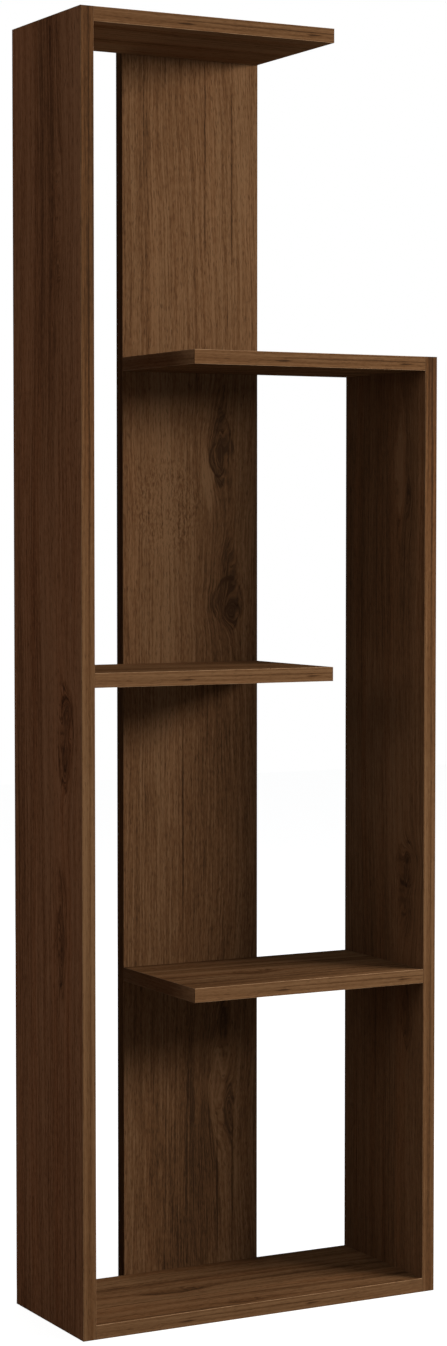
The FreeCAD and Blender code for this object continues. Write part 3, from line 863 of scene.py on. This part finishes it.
def closed(net, shapes):
    """One closed skin of tubes that meet."""
    inputs = {"Geometry": joined(net, shapes), "Distance": WELD}
    return net.add("GeometryNodeMergeByDistance", inputs).outputs[0]


def rod(net, sides, radius, middle, long, turn=ORIGIN):
    """A closed rod about its own axis, with its middle at a place."""
    made = net.add("GeometryNodeMeshCylinder", {"Vertices": sides, "Radius": radius, "Depth": long})
    return moved(net, made.outputs["Mesh"], middle, turn)


def cross(net, given, height):
    """The two bars that cut a fitting's cross recess into its face at a height."""
    arm, width, tall = given["Recess Arm"], given["Recess Width"], net.times(given["Recess Depth"], 2.0)
    bars = []
    for size in (net.vector(arm, width, tall), net.vector(width, arm, tall)):
        bar = net.add("GeometryNodeMeshCube", {"Size": size}).outputs["Mesh"]
        bars.append(moved(net, bar, net.upright(height)))
    return bars


def carved(net, shape, cutters):
    """A closed shape with the cutters taken out of it."""
    node = net.add("GeometryNodeMeshBoolean", {"Mesh 1": shape}, operation="DIFFERENCE")
    for cutter in cutters:
        net.tree.links.new(cutter, node.inputs["Mesh 2"])
    return node.outputs["Mesh"]


def set_out(net, given, fitting):
    """Sets the fitting on every place, along its axis and turned to its side, and ends the tree."""
    smooth = net.add("GeometryNodeSetShadeSmooth", {"Geometry": fitting, "Shade Smooth": True}, domain="FACE")
    angle = net.add("GeometryNodeInputMeshEdgeAngle").outputs[0]
    sharp = net.add("FunctionNodeCompare", {0: angle, 1: SHARP_EDGE}, data_type="FLOAT",
                    operation="GREATER_THAN").outputs[0]
    crisp = net.add("GeometryNodeSetShadeSmooth", {"Geometry": smooth.outputs[0], "Selection": sharp,
                                                   "Shade Smooth": False}, domain="EDGE").outputs[0]
    axes = [net.add("GeometryNodeInputNamedAttribute", {"Name": label}, data_type="FLOAT_VECTOR").outputs[0]
            for label in ("axis", "side")]
    turn = net.add("FunctionNodeAxesToRotation", {0: axes[0], 1: axes[1]}, primary_axis="Z",
                   secondary_axis="X").outputs[0]
    many = net.add("GeometryNodeInstanceOnPoints", {"Points": given["Places"], "Instance": crisp,
                                                    "Rotation": turn}).outputs[0]
    real = net.add("GeometryNodeRealizeInstances", {"Geometry": many}).outputs[0]
    finished = net.add("GeometryNodeSetMaterial", {"Geometry": real, "Material": given["Material"]}).outputs[0]
    net.feed(net.add("NodeGroupOutput").inputs["Fittings"], finished)


def build_cam_lock():
    """Tree: a cast cam. Its face is at height 0 less its sink, and its bolt comes in from +X."""
    net, given = fitting_tree("cam_lock", (
        ("Diameter", 15), ("Sink", 0.3), ("Foot", -13.3), ("Bolt Height", -9), ("Chamber", 10),
        ("Head Bore", 6.2), ("Neck Bore", 4.2), ("Recess Arm", 5), ("Recess Width", 1.4), ("Recess Depth", 1.6),
        ("Edge", 0.4),
    ))
    sides, edge, foot, bolt = given["Sides"], given["Edge"], given["Foot"], given["Bolt Height"]
    radius = net.half(given["Diameter"])
    face, slim = net.times(given["Sink"], -1.0), net.less(radius, edge)
    body = closed(net, outline_tubes(net, sides, [
        (0.0, foot), (slim, foot), (radius, net.plus(foot, edge)), (radius, net.less(face, edge)), (slim, face),
        (0.0, face),
    ]))
    arc = net.add("GeometryNodeCurveArc", {
        "Resolution": ARC_STEPS, "Radius": given["Diameter"], "Sweep Angle": CAM_SWEEP, "Connect Center": True,
    }).outputs["Curve"]
    sector = net.add("GeometryNodeFillCurve", {"Curve": arc}).outputs[0]
    neck = given["Neck Bore"]
    raised = net.add("GeometryNodeExtrudeMesh", {
        "Mesh": sector, "Offset": (0.0, 0.0, 1.0), "Offset Scale": neck, "Individual": False,
    }, mode="FACES").outputs["Mesh"]
    under = net.add("GeometryNodeFlipFaces", {"Mesh": sector}).outputs[0]
    slot_floor = net.upright(net.less(bolt, net.half(neck)))
    slot = moved(net, closed(net, [raised, under]), slot_floor)
    chamber = rod(net, sides, net.half(given["Chamber"]), net.upright(bolt), given["Head Bore"])
    locked = rod(net, sides, net.half(neck), net.vector(radius, 0.0, bolt), given["Diameter"],
                 (0.0, QUARTER, 0.0))
    mouth_place = net.vector(net.times(radius, math.cos(CAM_SWEEP)), net.times(radius, math.sin(CAM_SWEEP)), bolt)
    mouth = rod(net, sides, net.half(given["Head Bore"]), mouth_place, given["Diameter"],
                (0.0, QUARTER, CAM_SWEEP))
    pointer = rod(net, 3, net.times(given["Recess Width"], POINTER_SIZE),
                  net.vector(net.times(radius, POINTER_PLACE), 0.0, face), given["Recess Width"])
    recess = cross(net, given, face)
    set_out(net, given, carved(net, body, [chamber, slot, locked, mouth, pointer, *recess]))


def build_cam_bolt():
    """Tree: a turned cam bolt, its thread below height 0 and its head at the top."""
    net, given = fitting_tree("cam_bolt", (
        ("Thread Radius", 3), ("Thread Depth", 0.8), ("Thread Length", 11), ("Shank Radius", 3.5),
        ("Shank End", 26.4), ("Neck Radius", 2), ("Head Start", 30.126), ("Head End", 33.126),
        ("Head Radius", 3), ("Recess Arm", 3.4), ("Recess Width", 0.9), ("Recess Depth", 1.2), ("Edge", 0.4),
    ))
    sides, edge = given["Sides"], given["Edge"]
    start = net.times(given["Thread Length"], -1.0)
    root = net.less(given["Thread Radius"], given["Thread Depth"])
    shank, neck, head = given["Shank Radius"], given["Neck Radius"], given["Head Radius"]
    top, small = given["Head End"], net.less(head, edge)
    foot = outline_tubes(net, sides, [(0.0, start), (root, start)])
    ridges = thread(net, sides, given["Thread Radius"], given["Thread Depth"], start, 0.0, count=5)
    body = outline_tubes(net, sides, [
        (root, 0.0), (net.less(shank, edge), 0.0), (shank, edge), (shank, net.less(given["Shank End"], edge)),
        (net.less(shank, edge), given["Shank End"]), (neck, given["Shank End"]), (neck, given["Head Start"]),
        (head, given["Head Start"]), (head, net.less(top, edge)), (small, top), (0.0, top),
    ])
    recess = cross(net, given, top)
    set_out(net, given, carved(net, closed(net, [*foot, ridges, *body]), recess))


def build_dowel():
    """Tree: a fluted dowel with chamfered ends, from height 0 up."""
    net, given = fitting_tree("dowel", (
        ("Diameter", 8), ("Length", 30), ("Chamfer", 1), ("Flute Depth", 0.3),
    ))
    radius, long, chamfer = net.half(given["Diameter"]), given["Length"], given["Chamfer"]
    slim = net.less(radius, chamfer)
    plain = closed(net, outline_tubes(net, given["Sides"], [
        (0.0, 0.0), (slim, 0.0), (radius, chamfer), (radius, net.less(long, chamfer)), (slim, long),
        (0.0, long),
    ]))
    x, y, z = net.parts(net.add("GeometryNodeInputPosition").outputs[0])
    wave = net.math("COSINE", net.times(net.math("ARCTAN2", y, x), given["Sides"], 1 / SIDES_PER_FLUTE))
    cut = net.math("DIVIDE", net.times(given["Flute Depth"], net.half(net.less(1.0, wave))), radius)
    keep = net.less(1.0, cut)
    place = net.vector(net.times(x, keep), net.times(y, keep), z)
    set_out(net, given, net.add("GeometryNodeSetPosition", {"Geometry": plain, "Position": place}).outputs[0])


def build_spine_screw():
    """Tree: a countersunk screw with a hexagon socket, its head at height 0 and its tip up."""
    net, given = fitting_tree("spine_screw", (
        ("Head Diameter", 10), ("Head Rim", 1), ("Head Height", 4.5), ("Shank Radius", 3.5),
        ("Shank End", 18), ("Thread Radius", 3.2), ("Thread Depth", 1), ("Length", 50),
        ("Socket Radius", 2.309), ("Socket Depth", 3), ("Edge", 0.3),
    ))
    sides, edge, crest = given["Sides"], given["Edge"], given["Thread Radius"]
    head, shank = net.half(given["Head Diameter"]), given["Shank Radius"]
    root = net.less(crest, given["Thread Depth"])
    tip = net.less(given["Length"], crest)
    upper = outline_tubes(net, sides, [
        (0.0, 0.0), (net.less(head, edge), 0.0), (head, edge), (head, given["Head Rim"]),
        (shank, given["Head Height"]), (shank, given["Shank End"]), (root, given["Shank End"]),
    ])
    ridges = thread(net, sides, crest, given["Thread Depth"], given["Shank End"], tip, count=9)
    point = outline_tubes(net, sides, [(root, tip), (0.0, given["Length"])])
    socket = rod(net, 6, given["Socket Radius"], ORIGIN, net.times(given["Socket Depth"], 2.0))
    set_out(net, given, carved(net, closed(net, [*upper, ridges, *point]), [socket]))


def build_bracket_screw():
    """Tree: a pan-head screw whose head's underside is at height 0 and whose tip is up."""
    net, given = fitting_tree("bracket_screw", (
        ("Head Radius", BRACKET_SCREW_HEAD), ("Head Height", 2.4), ("Radius", 1.75), ("Grip", BRACKET_PLATE),
        ("Thread Depth", 0.6), ("Length", 13), ("Recess Arm", 5), ("Recess Width", 1.4), ("Recess Depth", 1.6),
    ))
    sides, head, radius = given["Sides"], given["Head Radius"], given["Radius"]
    top = net.times(given["Head Height"], -1.0)
    root, tip = net.less(radius, given["Thread Depth"]), net.less(given["Length"], radius)
    dome = [(net.times(head, math.sin(step)), net.times(top, math.cos(step))) for step in DOME_STEPS]
    upper = outline_tubes(net, sides, [
        (0.0, top), (net.times(head, DOME_FLAT), top), *dome, (head, 0.0), (radius, 0.0), (radius, given["Grip"]),
        (root, given["Grip"]),
    ])
    ridges = thread(net, sides, radius, given["Thread Depth"], given["Grip"], tip, count=5)
    point = outline_tubes(net, sides, [(root, tip), (0.0, given["Length"])])
    recess = cross(net, given, top)
    set_out(net, given, carved(net, closed(net, [*upper, ridges, *point]), recess))


def place_fittings(node, kind, places, material, sides, sizes):
    """Sets a kind of fitting on places, each a point with its axis and side, and keeps the mesh it makes."""
    name = kind + "_set"
    mesh = bpy.data.meshes.new(name + "_places")
    mesh.from_pydata([place[0] for place in places], [], [])
    for label, pick in (("axis", 1), ("side", 2)):
        attribute = mesh.attributes.new(label, "FLOAT_VECTOR", "POINT")
        for number, place in enumerate(places):
            attribute.data[number].vector = place[pick]
    piece = bpy.data.objects.new(name, mesh)
    bpy.context.scene.collection.objects.link(piece)
    tree = group_tree(kind)
    modifier = piece.modifiers.new(kind, "NODES")
    modifier.node_group = tree
    keys = {item.name: item.identifier for item in tree.interface.items_tree if item.in_out == "INPUT"}
    for label, value in {"Material": material, "Sides": sides, **sizes}.items():
        modifier[keys[label]] = value
    made = bpy.data.meshes.new_from_object(piece.evaluated_get(bpy.context.evaluated_depsgraph_get()))
    if not made.polygons:
        raise RuntimeError(name + " came out empty")
    made.name = name
    piece.modifiers.remove(modifier)
    piece.data = made
    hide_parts(node)
    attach(piece, BODY)


def joint_rows(sizes):
    """Where the cams stand along Y, and where the dowels stand between them."""
    cams = (SHELF_FRONT + sizes.cam_edge_inset, SHELF_REAR - sizes.cam_edge_inset)
    return cams, [cams[0] + part * (cams[1] - cams[0]) for part in DOWEL_ROWS]


def side_face(way):
    """The inner face of the left or the right side."""
    return LEFT_FACE if way < 0 else RIGHT_FACE


class BOOKSHELF_OT_cam_locks(bpy.types.Operator):
    """Sets the cast cams into the shelves"""
    bl_idname = "bookshelf.cam_locks"
    bl_label = "Cam Locks"

    def execute(self, context):
        sizes, tint = context.scene.bookshelf_sizes, context.scene.bookshelf_fittings.cast
        zinc = metal("cast_zinc", tint, grain=2400.0, cloud=0.45, roughness=0.32, relief=0.12 * MM)
        places = []
        for shelf, way, up in CAM_JOINTS:
            low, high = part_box(shelf)
            centre_x = side_face(way) - way * sizes.cam_setback
            for row in joint_rows(sizes)[0]:
                places.append(((centre_x, row, high.z if up > 0 else low.z), (0, 0, up), (way, 0, 0)))
        place_fittings("cam_locks", "cam_lock", places, zinc, sizes.facets,
                       {"Diameter": sizes.cam_diameter, "Sink": sizes.cam_sink})
        return {"FINISHED"}


class BOOKSHELF_OT_cam_bolts(bpy.types.Operator):
    """Turns the cam bolts into the side boards"""
    bl_idname = "bookshelf.cam_bolts"
    bl_label = "Cam Bolts"

    def execute(self, context):
        sizes = context.scene.bookshelf_sizes
        places = [((side_face(way), row, shelf_middle(shelf)), (-way, 0, 0), (0, 0, 1))
                  for shelf, way, _ in CAM_JOINTS for row in joint_rows(sizes)[0]]
        place_fittings("cam_bolts", "cam_bolt", places, plated_steel(context), sizes.facets, {})
        return {"FINISHED"}


class BOOKSHELF_OT_dowels(bpy.types.Operator):
    """Sets the fluted dowels between the shelves and the sides"""
    bl_idname = "bookshelf.dowels"
    bl_label = "Dowels"

    def execute(self, context):
        sizes, tint = context.scene.bookshelf_sizes, context.scene.bookshelf_fittings.beech
        in_side = DOWEL_IN_SIDE * sizes.dowel_length
        places = [((side_face(way) + way * in_side, row, shelf_middle(shelf)), (-way, 0, 0), (0, 0, 1))
                  for shelf, way, _ in CAM_JOINTS for row in joint_rows(sizes)[1]]
        place_fittings("dowels", "dowel", places, beech("beech", tint),
                       SIDES_PER_FLUTE * sizes.dowel_flutes,
                       {"Diameter": sizes.dowel_diameter, "Length": sizes.dowel_length})
        return {"FINISHED"}


class BOOKSHELF_OT_spine_screws(bpy.types.Operator):
    """Drives the screws through the spine into the shelves"""
    bl_idname = "bookshelf.spine_screws"
    bl_label = "Spine Screws"

    def execute(self, context):
        sizes = context.scene.bookshelf_sizes
        left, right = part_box("spine_left_band")[0].x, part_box("spine_right_band")[1].x
        places = [((column, SPINE_REAR, shelf_middle(shelf)), (0, -1, 0), (0, 0, 1))
                  for shelf in SHELVES for column in (left + sizes.screw_inset, right - sizes.screw_inset)]
        place_fittings("spine_screws", "spine_screw", places, plated_steel(context), sizes.facets,
                       {"Head Diameter": sizes.screw_head, "Length": sizes.screw_length})
        return {"FINISHED"}


class BOOKSHELF_OT_wall_bracket(bpy.types.Operator):
    """Finishes the wall bracket and drives its screws up into the top shelf"""
    bl_idname = "bookshelf.wall_bracket"
    bl_label = "Wall Bracket"

    def execute(self, context):
        dress("wall_bracket", plated_steel(context))
        low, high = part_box("wall_bracket_screws")
        head = BRACKET_SCREW_HEAD * MM
        column, under = (low.x + high.x) / 2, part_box("wall_bracket")[1].z - BRACKET_PLATE * MM
        places = [((column, row, under), (0, 0, 1), (1, 0, 0)) for row in (low.y + head, high.y - head)]
        place_fittings("wall_bracket_screws", "bracket_screw", places, plated_steel(context),
                       context.scene.bookshelf_sizes.facets, {})
        return {"FINISHED"}


# The lesser softboxes: where each stands and how wide it is, in metres. All of them face one point.
TOP_PLACE, TOP_SIZE = (0.0, -0.4, 4.2), 2.0
FILL_AZIMUTH, FILL_DISTANCE, FILL_HEIGHT, FILL_SIZE = math.radians(-76), 4.5, 2.0, 1.8
BACK_PLACE, BACK_SIZE = (0.3, 3.3, 0.9), 1.6
LAMP_AIM = Vector((0.0, 0.0, 0.8))

PAPER, PAPER_GLOW = (0.3, 0.3, 0.3, 1.0), (0.93, 0.924, 0.918, 1.0)
SOFT_LIGHT = (0.84, 1.0, 1.16, 1.0)


def round_to(azimuth, distance, height):
    """A place that stands round from the front to the right by an angle."""
    return (math.sin(azimuth) * distance, -math.cos(azimuth) * distance, height)


def lamp(name, place, width, depth, watts):
    """A softbox that faces the middle of the bookshelf."""
    light = bpy.data.lights.new(name, "AREA")
    light.shape = "RECTANGLE"
    light.size = width
    light.size_y = depth
    light.energy = watts
    box = bpy.data.objects.new(name, light)
    box.location = place
    box.rotation_euler = (LAMP_AIM - Vector(place)).to_track_quat("-Z", "Y").to_euler()
    bpy.context.scene.collection.objects.link(box)


def white_ray(net):
    """1 on rays that show the background itself: from the camera, off gloss and through glass."""
    path = net.add("ShaderNodeLightPath").outputs
    seen = net.math("MAXIMUM", path["Is Camera Ray"], path["Is Glossy Ray"])
    return net.math("MAXIMUM", seen, path["Is Transmission Ray"])


def studio_floor(size):
    """A pale floor that shows white and keeps the bookshelf's shadow."""
    half = size / 2
    mesh = bpy.data.meshes.new("studio_floor")
    corners = [(-half, -half, 0), (half, -half, 0), (half, half, 0), (-half, half, 0)]
    mesh.from_pydata(corners, [], [(0, 1, 2, 3)])
    floor = bpy.data.objects.new("studio_floor", mesh)
    bpy.context.scene.collection.objects.link(floor)
    material, net = fresh_material("studio_floor")
    paper = net.add("ShaderNodeBsdfDiffuse", {"Color": PAPER}).outputs[0]
    glow = net.add("ShaderNodeEmission", {"Color": PAPER_GLOW, "Strength": 1.0}).outputs[0]
    seen = net.add("ShaderNodeAddShader", {0: paper, 1: glow}).outputs[0]
    both = net.add("ShaderNodeMixShader", {0: white_ray(net), 1: paper, 2: seen}).outputs[0]
    net.add("ShaderNodeOutputMaterial", {"Surface": both})
    mesh.materials.append(material)


def studio_world(ambient):
    """White where it is seen, and a soft even light on the bookshelf."""
    world = bpy.data.worlds.new("studio_world")
    world.use_nodes = True
    world.node_tree.nodes.clear()
    net = Net(world.node_tree)
    soft = net.add("ShaderNodeBackground", {"Color": SOFT_LIGHT, "Strength": ambient}).outputs[0]
    white = net.add("ShaderNodeBackground", {"Color": WHITE, "Strength": 1.0}).outputs[0]
    both = net.add("ShaderNodeMixShader", {0: white_ray(net), 1: soft, 2: white}).outputs[0]
    net.add("ShaderNodeOutputWorld", {"Surface": both})
    bpy.context.scene.world = world


class BOOKSHELF_OT_stage(bpy.types.Operator):
    """Puts the bookshelf in a white studio, with its lamps and its camera"""
    bl_idname = "bookshelf.stage"
    bl_label = "Stage"

    def execute(self, context):
        scene = context.scene
        stage = scene.bookshelf_stage
        scene.view_settings.view_transform = "Standard"
        studio_floor(stage.floor_size)
        studio_world(stage.ambient)
        key_place = round_to(stage.key_azimuth, stage.key_distance, stage.key_height)
        fill_place = round_to(FILL_AZIMUTH, FILL_DISTANCE, FILL_HEIGHT)
        lamp("key_softbox", key_place, stage.key_width, stage.key_depth, stage.key_power)
        lamp("top_softbox", TOP_PLACE, TOP_SIZE, TOP_SIZE, stage.top_power)
        lamp("fill_softbox", fill_place, FILL_SIZE, FILL_SIZE, stage.fill_power)
        lamp("back_softbox", BACK_PLACE, BACK_SIZE, BACK_SIZE, stage.back_power)
        lens = bpy.data.cameras.new("studio_camera")
        lens.lens = stage.camera_lens
        camera = bpy.data.objects.new("studio_camera", lens)
        camera.location = stage.camera_place
        camera.rotation_euler = stage.camera_turn
        scene.collection.objects.link(camera)
        scene.camera = camera
        return {"FINISHED"}


GROUP_BUILDERS = {
    "grain_flow": build_grain_flow,
    "grain_ripple": build_grain_ripple,
    "grain_eye": build_grain_eye,
    "walnut_print": build_walnut_print,
    "arris_highlight_and_wear": build_arris_highlight_and_wear,
    "metal_skin": build_metal_skin,
    "cam_lock": build_cam_lock,
    "cam_bolt": build_cam_bolt,
    "dowel": build_dowel,
    "spine_screw": build_spine_screw,
    "bracket_screw": build_bracket_screw,
}
PIECE_OPERATORS = (
    BOOKSHELF_OT_side_boards,
    BOOKSHELF_OT_spine,
    BOOKSHELF_OT_shelves,
    BOOKSHELF_OT_edge_bands,
    BOOKSHELF_OT_cam_locks,
    BOOKSHELF_OT_cam_bolts,
    BOOKSHELF_OT_dowels,
    BOOKSHELF_OT_spine_screws,
    BOOKSHELF_OT_wall_bracket,
    BOOKSHELF_OT_stage,
)


class BOOKSHELF_PT_sidebar(bpy.types.Panel):
    """Lists the bookshelf's finishes, sizes and steps"""
    bl_idname = "BOOKSHELF_PT_sidebar"
    bl_label = "Zigzag Bookshelf"
    bl_space_type = "VIEW_3D"
    bl_region_type = "UI"
    bl_category = "Bookshelf"

    def draw(self, context):
        for kept in SETTINGS:
            box = self.layout.box()
            group = getattr(context.scene, kept)
            for name in group.__annotations__:
                box.prop(group, name)
        for operator in PIECE_OPERATORS:
            self.layout.operator(operator.bl_idname)


SETTINGS = {
    "bookshelf_walnut": WalnutFinish,
    "bookshelf_sizes": FittingSizes,
    "bookshelf_fittings": FittingFinish,
    "bookshelf_stage": StudioStage,
}
CLASSES = (*SETTINGS.values(), *PIECE_OPERATORS, BOOKSHELF_PT_sidebar)


def register():
    for kind in CLASSES:
        bpy.utils.register_class(kind)
    for kept, kind in SETTINGS.items():
        setattr(bpy.types.Scene, kept, PointerProperty(type=kind))


def unregister():
    for kept in SETTINGS:
        delattr(bpy.types.Scene, kept)
    for kind in reversed(CLASSES):
        bpy.utils.unregister_class(kind)


def main():
    register()
    for operator in PIECE_OPERATORS:
        family, step = operator.bl_idname.split(".")
        getattr(getattr(bpy.ops, family), step)()


if __name__ == "__main__":
    main()
